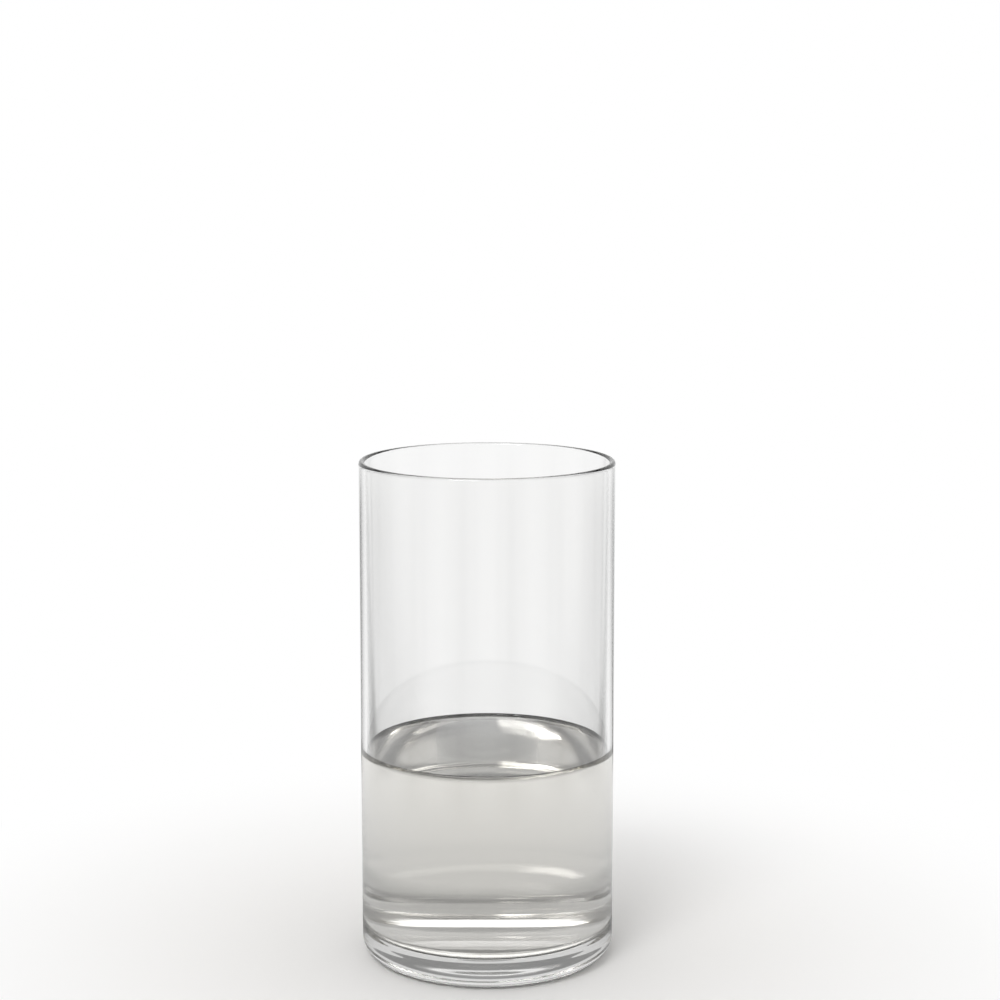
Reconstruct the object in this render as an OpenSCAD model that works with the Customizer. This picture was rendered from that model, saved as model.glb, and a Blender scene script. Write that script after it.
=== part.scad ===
// Clear glass cylinder vase, with the water that stands in it.
// Millimetres, +Z up. The origin is the middle of the base, on the table.

/* [Glass] */
// Outside diameter of the vase
vase_d = 127; // [100:1:180]
// Height of the vase, from the table to the top of the rim
vase_h = 252; // [180:1:400]
// Thickness of the wall
wall_t = 3; // [2:0.5:5]
// Thickness of the glass between the floor and the table
base_t = 15; // [10:0.5:25]
// Outside radius of the heel, where the wall turns under into the base
heel_r = 9.5; // [4:0.5:12]
// Inside radius of the corner between the wall and the floor
corner_r = 5; // [2:0.5:12]

/* [Underside] */
// Width of the flat ring that bears on the table
ring_w = 7; // [3:1:15]
// Rise of the shallow dome that is pressed up inside the ring
dome_h = 1.6; // [0.6:0.2:4]

/* [Water] */
// Depth of the water over the floor
water_depth = 91; // [30:0.5:130]
// Radius of the curve with which the water climbs the glass
meniscus_r = 2.5; // [2:0.5:5]
// Angle between the glass and the water's surface where they meet
contact_angle = 25; // [5:5:60]

/* [Hidden] */
$fn = 128;
outer_r = vase_d / 2;
inner_r = outer_r - wall_t;
// The rim is fire-polished, so its top is fully round
rim_r = wall_t / 2;
// The dome is part of a large ball that meets the table at the ring's inner edge
dome_edge_r = outer_r - heel_r - ring_w;
dome_ball_r = (dome_edge_r * dome_edge_r + dome_h * dome_h) / (2 * dome_h);
dome_fn = 1440;
water_z = base_t + water_depth;
meniscus_x = inner_r - meniscus_r * cos(contact_angle);

// Right half of an upright section with a flat bottom and one rounded lower corner
module tub_section(r, bottom_z, top_z, corner) {
    translate([0, bottom_z]) square([r - corner, top_z - bottom_z]);
    translate([0, bottom_z + corner]) square([r, top_z - bottom_z - corner]);
    translate([r - corner, bottom_z + corner]) circle(corner);
}

// Right half of the ball whose top is the dome under the base
module dome_section() {
    intersection() {
        translate([0, dome_h - dome_ball_r]) circle(dome_ball_r, $fn = dome_fn);
        translate([0, -dome_h]) square([dome_edge_r + ring_w, 2 * dome_h]);
    }
}

// Right half of the air over the water: flat in the middle, curved down to it at the glass
module meniscus_section() {
    translate([0, water_z]) square([meniscus_x, 2 * meniscus_r]);
    translate([meniscus_x, water_z + meniscus_r]) circle(meniscus_r);
}

module glass_vase() {
    color("#e9eeee", 0.3) rotate_extrude() {
        difference() {
            tub_section(outer_r, 0, vase_h - rim_r, heel_r);
            tub_section(inner_r, base_t, vase_h, corner_r);
            dome_section();
        }
        translate([inner_r + rim_r, vase_h - rim_r]) circle(rim_r);
    }
}

module water() {
    color("#d5dedd", 0.4) rotate_extrude() difference() {
        tub_section(inner_r, base_t, water_z + meniscus_r, corner_r);
        meniscus_section();
    }
}

glass_vase();
water();
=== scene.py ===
"""Looks of a clear glass cylinder vase and of the water that stands in it."""

import math

import bmesh
import bpy
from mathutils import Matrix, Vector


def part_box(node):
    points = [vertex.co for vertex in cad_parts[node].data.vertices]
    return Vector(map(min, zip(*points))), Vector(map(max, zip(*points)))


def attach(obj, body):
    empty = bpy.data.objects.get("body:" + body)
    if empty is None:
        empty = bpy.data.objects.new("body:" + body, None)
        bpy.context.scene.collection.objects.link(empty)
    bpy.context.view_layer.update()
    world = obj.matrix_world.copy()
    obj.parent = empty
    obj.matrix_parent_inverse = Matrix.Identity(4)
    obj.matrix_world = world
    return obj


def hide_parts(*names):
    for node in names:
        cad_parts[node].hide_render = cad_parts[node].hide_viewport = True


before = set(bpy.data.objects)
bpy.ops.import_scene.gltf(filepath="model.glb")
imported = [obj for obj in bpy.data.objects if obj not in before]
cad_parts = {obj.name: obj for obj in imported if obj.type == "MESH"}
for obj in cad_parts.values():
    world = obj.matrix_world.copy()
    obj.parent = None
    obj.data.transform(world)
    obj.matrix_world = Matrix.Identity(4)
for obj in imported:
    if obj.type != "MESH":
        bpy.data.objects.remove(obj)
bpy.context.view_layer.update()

MM = 0.001
FULL_TURN = 2 * math.pi

# Section of the vase and the water, as the solids have it
_, vase_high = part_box("glass_vase")
water_low, water_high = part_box("water")
VASE_R = vase_high.x
RIM_Z = vase_high.z
WALL = 3.0 * MM
BORE_R = VASE_R - WALL
FLOOR_Z = water_low.z
HEEL_R = 9.5 * MM
CORNER_R = 5.0 * MM
RING_W = 7.0 * MM
DOME_H = 1.6 * MM
MENISCUS_R = 2.5 * MM
CONTACT_ANGLE = math.radians(25)
CONTACT_Z = water_high.z
WATER_Z = CONTACT_Z - MENISCUS_R * (1 - math.sin(CONTACT_ANGLE))
RING_OUT_R = VASE_R - HEEL_R
DOME_EDGE_R = RING_OUT_R - RING_W

# How fine the lathe turns are
TURN_STEPS = 360
WALL_STEPS = 24
BASE_STEPS = 48
SURFACE_STEPS = 72
ROUND_STEPS = 40
ARC_STEPS = 14
# The rings of faces lie closer in this stretch under the rim, where the wall turns over
NECK = 15 * MM

# Glass from a mould is never quite even: slow ream inside the wall, faint chill rings round the base
REAM = 0.03 * MM
# Each wave of the ream, as (share, waves round the wall, phase, turns of phase per metre of height)
REAM_WAVES = ((0.5, 3, 0.6, 9), (0.3, 7, 2.1, -14), (0.2, 13, 0.0, 21))
REAM_FADE = 20 * MM
CHILL_DEPTH = 0.06 * MM
CHILL_PITCH = 3.4 * MM
CHILL_Z = 14 * MM
CHILL_SPREAD = 3 * MM
CHILL_TOP = 30 * MM
# The water reaches this far into the glass, so that no air is left between the two
WETTED = 0.15 * MM
# The surface of the water is never quite still, apart from this width of it along the glass
RIPPLE = 0.05 * MM
RIPPLE_PITCH = 17 * MM
STILL_EDGE = 3.5 * MM
# How near a point of a section is to a face or the axis to count as on it
NEAR = 0.1 * MM

# Finishes; a cast is what is left of white light after a tenth of a metre
CAST_DENSITY = 10.0
GLASS_IOR, WATER_IOR = 1.52, 1.333
GLASS_SURFACE, WATER_SURFACE = (0.95, 0.95, 0.947, 1), (1, 1, 1, 1)
GLASS_CAST, WATER_CAST = (0.918, 0.918, 0.91, 1), (0.89, 0.875, 0.835, 1)
# A skin is its waves per metre, the share of them up the wall, their depth, and its least and most roughness
GLASS_SKIN = (60.0, 0.06, 0.02 * MM, (0.0, 0.012))
WATER_SKIN = (35.0, 1.0, 0.05 * MM, (0.0, 0.004))
WAVE_DETAIL = 2.0
# Fine marks in the gloss, and how much of their pattern shows
MARKS_PER_METRE = 900.0
MARKS_DETAIL = 4.0
MARKS_SHOWN = (0.45, 0.8)
# The ring under the base is scuffed by the table, from its inner edge out and up to this height
SCUFFS = (0.1, 0.45)
SCUFF_EDGE = 2 * MM
SCUFF_HEIGHT = (0.1 * MM, 0.5 * MM)

# Light goes to and fro in the thick base many times before it comes out
LIGHT_BOUNCES = 64

# The studio: a pale table top that fades into a white backdrop
FLOOR_R = 3.0
FLOOR_STEPS = 128
FLOOR_COLOUR = (0.90, 0.89, 0.875, 1)
FLOOR_ROUGHNESS = 0.9
BACKDROP = 1.0
FLOOR_FADE = (0.09, 0.36)
# Painted light and shade on the table for bent rays, as (distance from the axis, strength): painted light
# through the vase, painted black shadow under the ring that bears on it, and painted shade round the foot
TABLE_PAINTED_LIGHT_AND_SHADE = ((0.0, 0.72), (DOME_EDGE_R - 3 * MM, 0.68), (DOME_EDGE_R, 0.04), (RING_OUT_R + 3 * MM, 0.04),
         (RING_OUT_R + 7 * MM, 0.5), (0.076, 0.28), (0.088, 0.28), (0.098, 0.42), (0.108, 0.46),
         (0.13, 0.68), (0.22, 0.8), (0.35, 0.95), (0.5, BACKDROP))
# Grey flags painted on the table, painted dark reflections that only the glass shows, one every eighth of
# a turn, with edges in degrees from midway between two flags
FLAG_TURN = FULL_TURN / 8
FLAG_WIDE, FLAG_NARROW = (5, 12), (16.5, 20.5)
# A flag starts and ends softly, between these distances from the axis
FLAG_START, FLAG_END = (0.3, 0.42), (1.2, 2.2)
PAINTED_FLAG_PALE = 0.16
# The narrow part of a flag is dark only behind the vase, from one share of straight behind to another
FLAG_BEHIND = (0.6, 0.8)
PAINTED_FLAG_DARK = (0.2, 0.62)
# Light of the studio from the horizon to overhead, as (sine of elevation, strength)
SKY = ((0.06, BACKDROP), (0.24, 0.78), (0.467, 0.72), (0.475, 0.02), (0.523, 0.02), (0.535, 0.9),
       (0.59, 0.95), (0.605, 2.0), (0.70, 1.9), (0.75, 1.7), (0.765, 0.02), (0.87, 0.02), (0.885, 0.6))
SKY_PEAK = 2.0
# A window with soft edges, given by the cosines of the angle from its middle
WINDOW_TOWARDS = (-0.28, -0.58, 0.765)
WINDOW_EDGE = (0.974, 0.985)
WINDOW_LIGHT = 7.0

# The camera stands in front of the vase and above its rim, and dips by some degrees
CAMERA_PLACE = (6.4 * MM, -1140 * MM, 418 * MM)
CAMERA_DIP = 9.28
CAMERA_LENS, CAMERA_SENSOR = 83.93, 36.0


def arc(centre_r, centre_z, radius, start, end, steps=ARC_STEPS):
    """Points of a round stretch of a section, from angle start to end in degrees."""
    turns = [math.radians(start + (end - start) * i / steps) for i in range(steps + 1)]
    return [(centre_r + radius * math.cos(t), centre_z + radius * math.sin(t)) for t in turns]


def straight(start, end, steps):
    """Points inside a straight stretch of a section, without its two ends."""
    (r0, z0), (r1, z1) = start, end
    return [(r0 + (r1 - r0) * i / steps, z0 + (z1 - z0) * i / steps) for i in range(1, steps)]


def lathe(name, section, uneven):
    """A closed, smooth mesh turned from a section that starts and ends on the axis."""
    bm = bmesh.new()
    rings = []
    for r, z in section:
        if r < NEAR:
            rings.append([bm.verts.new((0, 0, z + uneven(0, r, z)[1]))])
            continue
        ring = []
        for i in range(TURN_STEPS):
            turn = FULL_TURN * i / TURN_STEPS
            out, up = uneven(turn, r, z)
            ring.append(bm.verts.new(((r + out) * math.cos(turn), (r + out) * math.sin(turn), z + up)))
        rings.append(ring)
    for low, high in zip(rings, rings[1:]):
        for i in range(TURN_STEPS):
            j = (i + 1) % TURN_STEPS
            corners = [low[i % len(low)], low[j % len(low)], high[j % len(high)], high[i % len(high)]]
            # Two corners that meet on the axis count as one
            bm.faces.new(dict.fromkeys(corners))
    bmesh.ops.recalc_face_normals(bm, faces=bm.faces)
    mesh = bpy.data.meshes.new(name)
    bm.to_mesh(mesh)
    bm.free()
    for face in mesh.polygons:
        face.use_smooth = True
    piece = bpy.data.objects.new(name, mesh)
    bpy.context.scene.collection.objects.link(piece)
    return piece


def glass_uneven(turn, r, z):
    """How far out and up the glass strays: ream inside the wall, chill rings outside the base."""
    if r > VASE_R - NEAR and z < CHILL_TOP:
        swell = math.exp(-((z - CHILL_Z) / CHILL_SPREAD) ** 2)
        return -CHILL_DEPTH * swell * (0.5 + 0.5 * math.sin(FULL_TURN * z / CHILL_PITCH)), 0.0
    ream_top = RIM_Z - WALL
    if abs(r - BORE_R) > NEAR or z > ream_top:
        return 0.0, 0.0
    fade = min(1.0, (ream_top - z) / REAM_FADE)
    waves = (share * math.sin(count * turn + phase + climb * z) for share, count, phase, climb in REAM_WAVES)
    return REAM * fade * sum(waves), 0.0


def water_uneven(turn, r, z):
    """How far out and up the water strays: ripples that die out towards the glass."""
    still_r = BORE_R - STILL_EDGE
    if abs(z - WATER_Z) > NEAR or r > still_r:
        return 0.0, 0.0
    return 0.0, RIPPLE * (1 - r / still_r) * math.cos(FULL_TURN * r / RIPPLE_PITCH)


def glass_section():
    """From the middle of the underside, up the outside, over the rim and down to the middle of the floor."""
    dome_ball = (DOME_EDGE_R ** 2 + DOME_H ** 2) / (2 * DOME_H)
    dome_turn = math.degrees(math.asin(DOME_EDGE_R / dome_ball))
    dome = [(0, DOME_H)] + arc(0, DOME_H - dome_ball, dome_ball, 90, 90 - dome_turn)[1:]
    heel = arc(RING_OUT_R, HEEL_R, HEEL_R, -90, 0, ROUND_STEPS)
    rim = arc(VASE_R - WALL / 2, RIM_Z - WALL / 2, WALL / 2, 0, 180)
    corner = arc(BORE_R - CORNER_R, FLOOR_Z + CORNER_R, CORNER_R, 0, -90, ROUND_STEPS)
    base_top, neck, throat = (VASE_R, CHILL_TOP), (VASE_R, RIM_Z - NECK), (BORE_R, RIM_Z - NECK)
    outside = straight(heel[-1], base_top, BASE_STEPS) + [base_top] + straight(base_top, neck, WALL_STEPS)
    outside += [neck] + straight(neck, rim[0], ARC_STEPS)
    inside = straight(rim[-1], throat, ARC_STEPS) + [throat] + straight(throat, corner[0], WALL_STEPS)
    floor = straight(corner[-1], (0, FLOOR_Z), ARC_STEPS)
    return dome + heel + outside + rim + inside + corner + floor + [(0, FLOOR_Z)]


def water_section():
    """From the middle of the floor, up the glass to the meniscus and back to the middle of the surface."""
    wet_r, wet_z = BORE_R + WETTED, FLOOR_Z - WETTED
    wet_corner = CORNER_R + WETTED
    corner = arc(wet_r - wet_corner, wet_z + wet_corner, wet_corner, -90, 0, ROUND_STEPS)
    edge_r = BORE_R - MENISCUS_R * math.cos(CONTACT_ANGLE)
    meniscus = arc(edge_r, WATER_Z + MENISCUS_R, MENISCUS_R, -math.degrees(CONTACT_ANGLE), -90)
    lip = (wet_r, CONTACT_Z + WETTED / math.tan(CONTACT_ANGLE))
    side = straight(corner[-1], lip, WALL_STEPS)
    floor = straight((0, wet_z), corner[0], ARC_STEPS)
    surface = straight(meniscus[-1], (0, WATER_Z), SURFACE_STEPS)
    return [(0, wet_z)] + floor + corner + side + [lip] + meniscus + surface + [(0, WATER_Z)]


def new_material(name):
    """A new material with its nodes, its links and its main shader."""
    material = bpy.data.materials.new(name)
    material.use_nodes = True
    nodes = material.node_tree.nodes
    return material, nodes, material.node_tree.links, nodes["Principled BSDF"]


def math_node(nodes, links, operation, first, second=None):
    """One step of arithmetic; first and second are sockets or plain numbers."""
    node = nodes.new("ShaderNodeMath")
    node.operation = operation
    for socket, value in zip(node.inputs, (first, second)):
        if isinstance(value, bpy.types.NodeSocket):
            links.new(value, socket)
        elif value is not None:
            socket.default_value = value
    return node.outputs["Value"]


def vector_node(nodes, links, operation, first, second=None):
    """One step of vector arithmetic; first is a socket, second a socket or three plain numbers."""
    node = nodes.new("ShaderNodeVectorMath")
    node.operation = operation
    links.new(first, node.inputs[0])
    if isinstance(second, bpy.types.NodeSocket):
        links.new(second, node.inputs[1])
    elif second is not None:
        node.inputs[1].default_value = second
    return node.outputs["Value" if operation in ("LENGTH", "DOT_PRODUCT") else "Vector"]


def axes_of(nodes, links, place):
    """The three axes of a place, each as a value."""
    node = nodes.new("ShaderNodeSeparateXYZ")
    links.new(place, node.inputs["Vector"])
    return node.outputs


def soft_step(nodes, links, value, low, high, low_value=0.0, high_value=1.0):
    """A smooth change from low_value to high_value as value goes from low to high."""
    node = nodes.new("ShaderNodeMapRange")
    node.interpolation_type = "SMOOTHSTEP"
    links.new(value, node.inputs["Value"])
    node.inputs["From Min"].default_value = low
    node.inputs["From Max"].default_value = high
    node.inputs["To Min"].default_value = low_value
    node.inputs["To Max"].default_value = high_value
    return node.outputs["Result"]


def bands(nodes, links, value, stops, peak):
    """A strength that goes from stop to stop, each a (value, strength), with none above peak."""
    node = nodes.new("ShaderNodeValToRGB")
    links.new(value, node.inputs["Fac"])
    elements = node.color_ramp.elements
    elements[0].position, elements[1].position = stops[0][0], stops[-1][0]
    for place, _ in stops[1:-1]:
        elements.new(place)
    for element, (_, strength) in zip(elements, stops):
        element.color = (strength / peak,) * 3 + (1,)
    return math_node(nodes, links, "MULTIPLY", node.outputs["Color"], peak)


def noise(nodes, links, place, detail):
    """A cloudy pattern from 0 to 1 at the places given."""
    node = nodes.new("ShaderNodeTexNoise")
    node.inputs["Scale"].default_value = 1.0
    node.inputs["Detail"].default_value = detail
    links.new(place, node.inputs["Vector"])
    return node.outputs["Fac"]


def liquid_skin():
    """The skin of what set or lies as a liquid: slow waves, and fine marks in its gloss."""
    group = bpy.data.node_groups.new("liquid_skin", "ShaderNodeTree")
    for name in ("Waves Per Metre", "Upright Share", "Least Roughness", "Most Roughness"):
        group.interface.new_socket(name, in_out="INPUT", socket_type="NodeSocketFloat")
    for name in ("Height", "Roughness"):
        group.interface.new_socket(name, in_out="OUTPUT", socket_type="NodeSocketFloat")
    nodes, links = group.nodes, group.links
    given, result = nodes.new("NodeGroupInput"), nodes.new("NodeGroupOutput")
    place = nodes.new("ShaderNodeTexCoord").outputs["Object"]
    waves = given.outputs["Waves Per Metre"]
    stretch = nodes.new("ShaderNodeCombineXYZ")
    links.new(waves, stretch.inputs["X"])
    links.new(waves, stretch.inputs["Y"])
    upright = math_node(nodes, links, "MULTIPLY", waves, given.outputs["Upright Share"])
    links.new(upright, stretch.inputs["Z"])
    wavy = vector_node(nodes, links, "MULTIPLY", place, stretch.outputs["Vector"])
    links.new(noise(nodes, links, wavy, WAVE_DETAIL), result.inputs["Height"])
    fine = vector_node(nodes, links, "MULTIPLY", place, (MARKS_PER_METRE,) * 3)
    marks = nodes.new("ShaderNodeMapRange")
    marks.inputs["From Min"].default_value, marks.inputs["From Max"].default_value = MARKS_SHOWN
    links.new(noise(nodes, links, fine, MARKS_DETAIL), marks.inputs["Value"])
    links.new(given.outputs["Least Roughness"], marks.inputs["To Min"])
    links.new(given.outputs["Most Roughness"], marks.inputs["To Max"])
    links.new(marks.outputs["Result"], result.inputs["Roughness"])
    return group


def clear_body(name, ior, surface, cast, skin_values, skin_group):
    """A clear material with its cast and its skin, and the node of that skin."""
    material, nodes, links, shader = new_material(name)
    shader.inputs["Base Color"].default_value = surface
    shader.inputs["IOR"].default_value = ior
    shader.inputs["Transmission Weight"].default_value = 1.0
    depth = nodes.new("ShaderNodeVolumeAbsorption")
    depth.inputs["Color"].default_value = cast
    depth.inputs["Density"].default_value = CAST_DENSITY
    links.new(depth.outputs["Volume"], nodes["Material Output"].inputs["Volume"])
    waves, upright, wave_depth, roughness = skin_values
    skin = nodes.new("ShaderNodeGroup")
    skin.node_tree = skin_group
    skin.inputs["Waves Per Metre"].default_value = waves
    skin.inputs["Upright Share"].default_value = upright
    skin.inputs["Least Roughness"].default_value, skin.inputs["Most Roughness"].default_value = roughness
    links.new(skin.outputs["Roughness"], shader.inputs["Roughness"])
    wavy = nodes.new("ShaderNodeBump")
    wavy.inputs["Distance"].default_value = wave_depth
    links.new(skin.outputs["Height"], wavy.inputs["Height"])
    links.new(wavy.outputs["Normal"], shader.inputs["Normal"])
    return material, skin


def bearing_ring(nodes, links):
    """A mask of the flat ring under the base that bears on the table."""
    place = nodes.new("ShaderNodeTexCoord").outputs["Object"]
    reach = vector_node(nodes, links, "LENGTH", place)
    low = soft_step(nodes, links, axes_of(nodes, links, place)["Z"], *SCUFF_HEIGHT, 1.0, 0.0)
    outside_dome = soft_step(nodes, links, reach, DOME_EDGE_R - SCUFF_EDGE, DOME_EDGE_R)
    return math_node(nodes, links, "MULTIPLY", low, outside_dome)


def clear_glass(skin_group):
    """Fire-polished soda-lime glass, scuffed where the ring under the base bears on the table."""
    material, skin = clear_body("clear_glass", GLASS_IOR, GLASS_SURFACE, GLASS_CAST, GLASS_SKIN, skin_group)
    nodes, links = material.node_tree.nodes, material.node_tree.links
    ring = bearing_ring(nodes, links)
    least, most = SCUFFS
    polished = skin.inputs["Most Roughness"].default_value
    links.new(math_node(nodes, links, "MULTIPLY", ring, least), skin.inputs["Least Roughness"])
    scuffed = math_node(nodes, links, "MULTIPLY", ring, most)
    links.new(math_node(nodes, links, "MAXIMUM", scuffed, polished), skin.inputs["Most Roughness"])
    return material


def fresh_water(skin_group):
    """Water, with a faint warm cast over a hand's breadth of depth."""
    material, _ = clear_body("fresh_water", WATER_IOR, WATER_SURFACE, WATER_CAST, WATER_SKIN, skin_group)
    return material


def light_path_share(nodes, links, kinds):
    """A value that is 1 for the named kinds of ray and 0 for the rest."""
    path = nodes.new("ShaderNodeLightPath")
    share = path.outputs[kinds[0]]
    for kind in kinds[1:]:
        share = math_node(nodes, links, "MAXIMUM", share, path.outputs[kind])
    return share


def painted_flags(nodes, links, place, reach):
    """How dark the painted grey flags are, reflections which the bent edges of the glass find on the table.
    """
    axes = axes_of(nodes, links, place)
    turn = math_node(nodes, links, "ARCTAN2", axes["X"], axes["Y"])
    fold = math_node(nodes, links, "PINGPONG", turn, FLAG_TURN / 2)
    wide = soft_step(nodes, links, fold, *map(math.radians, FLAG_WIDE), 0.0, PAINTED_FLAG_PALE)
    narrow = soft_step(nodes, links, fold, *map(math.radians, FLAG_NARROW))
    behind = math_node(nodes, links, "DIVIDE", axes["Y"], reach)
    depth = soft_step(nodes, links, behind, *FLAG_BEHIND, *PAINTED_FLAG_DARK)
    # Painted dark reflections: the pale wide part and the dark narrow part of each painted flag
    dark = math_node(nodes, links, "ADD", wide, math_node(nodes, links, "MULTIPLY", narrow, depth))
    start = soft_step(nodes, links, reach, *FLAG_START)
    end = soft_step(nodes, links, reach, *FLAG_END, 1.0, 0.0)
    return math_node(nodes, links, "MULTIPLY", dark, math_node(nodes, links, "MULTIPLY", start, end))


def table_white_less_painted_shade(nodes, links, place, reach, bent):
    """Strength of the table's white, less its painted shade and painted flags where glass bends it."""
    # Painted light and shade: white less painted shadow under the ring, painted shade round the foot, and
    # flags
    shade = math_node(nodes, links, "SUBTRACT", BACKDROP, bands(nodes, links, reach, TABLE_PAINTED_LIGHT_AND_SHADE, BACKDROP))
    dark = math_node(nodes, links, "ADD", shade, painted_flags(nodes, links, place, reach))
    return math_node(nodes, links, "SUBTRACT", BACKDROP, math_node(nodes, links, "MULTIPLY", dark, bent))


def pale_floor():
    """A pale table top, which fades out into the white of the backdrop."""
    bpy.ops.mesh.primitive_circle_add(vertices=FLOOR_STEPS, radius=FLOOR_R, fill_type="NGON")
    floor = bpy.context.object
    floor.name = "floor"
    material, nodes, links, shader = new_material("pale_floor")
    shader.inputs["Base Color"].default_value = FLOOR_COLOUR
    shader.inputs["Roughness"].default_value = FLOOR_ROUGHNESS
    shader.inputs["Specular IOR Level"].default_value = 0.0
    place = nodes.new("ShaderNodeNewGeometry").outputs["Position"]
    reach = vector_node(nodes, links, "LENGTH", place)
    seen = light_path_share(nodes, links, ["Is Camera Ray"])
    bent = light_path_share(nodes, links, ["Is Glossy Ray", "Is Transmission Ray"])
    faded = math_node(nodes, links, "MULTIPLY", soft_step(nodes, links, reach, *FLOOR_FADE), seen)
    white = nodes.new("ShaderNodeEmission")
    # Bent rays see the table's white less painted shade and painted dark flags
    links.new(table_white_less_painted_shade(nodes, links, place, reach, bent), white.inputs["Strength"])
    mix = nodes.new("ShaderNodeMixShader")
    links.new(math_node(nodes, links, "MAXIMUM", faded, bent), mix.inputs["Fac"])
    links.new(shader.outputs["BSDF"], mix.inputs[1])
    links.new(white.outputs["Emission"], mix.inputs[2])
    links.new(mix.outputs["Shader"], nodes["Material Output"].inputs["Surface"])
    floor.data.materials.append(material)


def studio():
    """A white backdrop, a grey wall, a dark gap, a dim and a bright ring, a gap, a ceiling and a window."""
    world = bpy.data.worlds.new("studio")
    bpy.context.scene.world = world
    world.use_nodes = True
    nodes, links = world.node_tree.nodes, world.node_tree.links
    place = nodes.new("ShaderNodeTexCoord").outputs["Generated"]
    level = bands(nodes, links, axes_of(nodes, links, place)["Z"], SKY, SKY_PEAK)
    nearness = vector_node(nodes, links, "DOT_PRODUCT", place, WINDOW_TOWARDS)
    window = soft_step(nodes, links, nearness, *WINDOW_EDGE, 0.0, WINDOW_LIGHT)
    shown = nodes.new("ShaderNodeMix")
    links.new(light_path_share(nodes, links, ["Is Camera Ray"]), shown.inputs["Factor"])
    links.new(math_node(nodes, links, "ADD", level, window), shown.inputs["A"])
    shown.inputs["B"].default_value = BACKDROP
    background = nodes["Background"]
    background.inputs["Color"].default_value = (1, 1, 1, 1)
    links.new(shown.outputs["Result"], background.inputs["Strength"])


def camera():
    """The camera, which is level from side to side."""
    lens = bpy.data.cameras.new("camera")
    lens.lens = CAMERA_LENS
    lens.sensor_width = CAMERA_SENSOR
    view = bpy.data.objects.new("camera", lens)
    view.location = CAMERA_PLACE
    view.rotation_euler = (math.radians(90 - CAMERA_DIP), 0, 0)
    bpy.context.scene.collection.objects.link(view)
    bpy.context.scene.camera = view


skin_group = liquid_skin()

glass = lathe("glass_vase_clear", glass_section(), glass_uneven)
glass.data.materials.append(clear_glass(skin_group))
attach(glass, "root")
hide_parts("glass_vase")

water = lathe("water_body", water_section(), water_uneven)
water.data.materials.append(fresh_water(skin_group))
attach(water, "root")
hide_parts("water")

pale_floor()
studio()
camera()
bpy.context.scene.view_settings.view_transform = "Standard"
cycles = bpy.context.scene.cycles
cycles.max_bounces = cycles.transmission_bounces = cycles.glossy_bounces = LIGHT_BOUNCES
